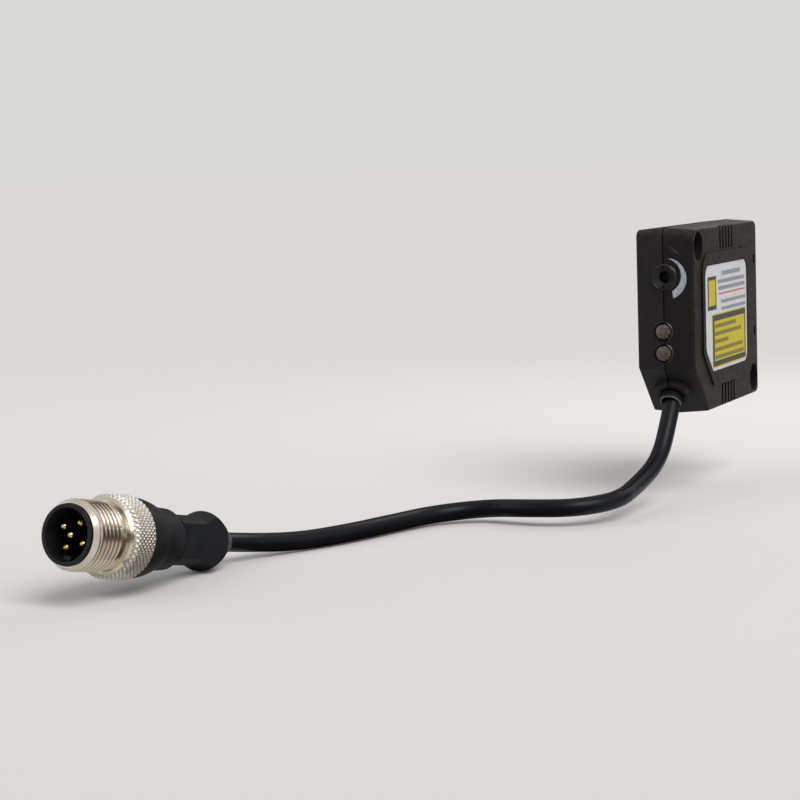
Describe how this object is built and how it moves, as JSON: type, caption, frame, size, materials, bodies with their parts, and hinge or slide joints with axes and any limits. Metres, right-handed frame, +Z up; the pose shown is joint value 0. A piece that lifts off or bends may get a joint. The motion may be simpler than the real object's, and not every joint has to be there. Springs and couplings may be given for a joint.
{
  "type": "laser sensor",
  "caption": "Slim box-shaped laser sensor with screw holes in opposite corners, a slotted gain adjuster, status lamps and a short cable ending in a threaded M12 plug.",
  "frame": {"origin": "midway between the two screw holes, on the flat mounting face", "axes": "+X through the thickness from the mounting face to the label face, +Y towards the front window, +Z up"},
  "size_m": [0.0731, 0.1785, 0.0557],
  "materials": {
    "case_plastic": "black moulded plastic, fine matte texture",
    "label_film": "white printed polyester film, satin",
    "window_filter": "dark red filter plastic, glossy",
    "optics_plastic": "black moulded plastic",
    "barrel_metal": "turned brass",
    "lens_glass": "polished optical glass",
    "diode_metal": "plated metal can",
    "chip_plastic": "black epoxy package",
    "board_laminate": "green glass-fibre laminate",
    "capacitor_ceramic": "tan ceramic",
    "pot_plastic": "blue moulded plastic",
    "rotor_metal": "plated screw, satin",
    "led_resin": "clear grey lamp resin",
    "bush_rubber": "grey-black rubber",
    "core_insulation": "coloured core insulation",
    "cable_jacket": "black cable jacket, slight sheen",
    "grip_plastic": "black moulded grip, matte",
    "insert_plastic": "black contact carrier",
    "contact_metal": "gold-plated contact",
    "nut_metal": "nickel-plated brass, bright"
  },
  "bodies": {
    "case": {"housing_half_plain": "case_plastic", "housing_half_label": "case_plastic", "label_sheet": "label_film", "front_window": "window_filter", "optics_block": "optics_plastic", "laser_barrel": "barrel_metal", "collimator_lens": "lens_glass", "laser_diode": "diode_metal", "receiver_lens": "lens_glass", "photodiode": "chip_plastic", "circuit_board": "board_laminate", "control_chip": "chip_plastic", "laser_driver": "chip_plastic", "capacitors": "capacitor_ceramic", "gain_pot_body": "pot_plastic", "led_holder": "optics_plastic", "led_upper": "led_resin", "led_lower": "led_resin", "cable_bush": "bush_rubber", "core_wire_1": "core_insulation", "core_wire_2": "core_insulation", "core_wire_3": "core_insulation", "core_wire_4": "core_insulation", "core_wire_5": "core_insulation", "cable": "cable_jacket", "plug_overmould": "grip_plastic", "contact_insert": "insert_plastic", "contact_pin_1": "contact_metal", "contact_pin_2": "contact_metal", "contact_pin_3": "contact_metal", "contact_pin_4": "contact_metal", "contact_pin_5": "contact_metal"},
    "gain_rotor": {"gain_rotor": "rotor_metal"},
    "coupling_nut": {"coupling_nut": "nut_metal"}
  },
  "joints": [
    {"name": "gain_adjuster", "type": "hinge", "parent": "case", "child": "gain_rotor", "pos_m": [0.006, -0.0225, 0.0093], "axis": [0, 1, 0], "range_deg": [-135, 135]},
    {"name": "coupling_nut_turn", "type": "hinge", "parent": "case", "child": "coupling_nut", "pos_m": [-0.05385, -0.14505, -0.02559], "axis": [0.1128, 0.9751, -0.1908], "continuous": true}
  ]
}
